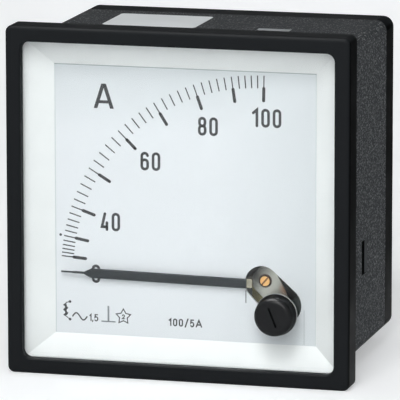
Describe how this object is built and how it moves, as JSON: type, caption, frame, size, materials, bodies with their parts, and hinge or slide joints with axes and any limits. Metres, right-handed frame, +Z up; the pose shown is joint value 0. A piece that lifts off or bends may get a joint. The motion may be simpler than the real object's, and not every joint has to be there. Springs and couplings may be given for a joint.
{
  "type": "analog panel meter",
  "caption": "Square panel ammeter with a quadrant scale, a moving-iron movement and a zero adjuster in the window.",
  "frame": {"origin": "centre of the frame's rear face, where it meets the panel", "axes": "+X to the right as the dial is read, +Y back through the panel to the terminals, +Z up"},
  "size_m": [0.072, 0.0635, 0.072],
  "materials": {
    "black_frame": "satin",
    "clear_glass": "clear",
    "white_surround": "satin",
    "dial_paint": "satin",
    "grey_housing": "fine grain",
    "black_cover": "satin",
    "black_inner": "matte",
    "steel": "satin",
    "zinc_yellow": "yellow passivated",
    "brass": "turned",
    "copper_wire": "enamelled copper",
    "bronze": "bright strip",
    "aluminium": "satin",
    "magnet": "ground",
    "black_paint": "satin",
    "black_knob": "satin"
  },
  "bodies": {
    "case": {"front_bezel": "black_frame", "window": "clear_glass", "scale_surround": "white_surround", "dial_plate": "dial_paint", "housing": "grey_housing", "rear_cover": "black_cover", "cover_screws": "steel", "movement_plate": "black_inner", "coil_former": "black_inner", "coil_winding": "copper_wire", "coil_lead_left": "copper_wire", "coil_lead_right": "copper_wire", "fixed_iron": "steel", "front_magnet": "magnet", "rear_magnet": "magnet", "bearing_bridge": "zinc_yellow", "bridge_screws": "steel", "front_bearing_screw": "brass", "rear_bearing_screw": "brass", "stop_pins": "steel", "terminal_studs": "brass", "terminal_washers": "steel", "terminal_nuts": "brass"},
    "pointer_system": {"pointer": "black_paint", "pointer_carrier": "aluminium", "balance_weights": "brass", "spindle": "steel", "spring_collet": "brass", "moving_iron": "steel", "damping_vane": "aluminium"},
    "adjuster": {"zero_adjuster": "black_knob", "adjuster_clip": "steel"},
    "lever": {"zero_lever": "steel", "hairspring": "bronze"}
  },
  "joints": [
    {"name": "pointer_swing", "type": "hinge", "parent": "case", "child": "pointer_system", "pos_m": [0.0164, 0, -0.01585], "axis": [0, 1, 0], "range_deg": [0, 90.2], "stiffness_Nm_per_rad": 0.0001},
    {"name": "zero_adjuster_turn", "type": "hinge", "parent": "case", "child": "adjuster", "pos_m": [0.0205, 0, -0.0212], "axis": [0, 1, 0], "range_deg": [-30, 30]},
    {"name": "zero_lever_turn", "type": "hinge", "parent": "case", "child": "lever", "pos_m": [0.0164, 0, -0.01585], "axis": [0, 1, 0], "range_deg": [-5, 5]}
  ],
  "couplings": [
    {"joint": "zero_lever_turn", "follows": "zero_adjuster_turn", "ratio": -0.148}
  ]
}
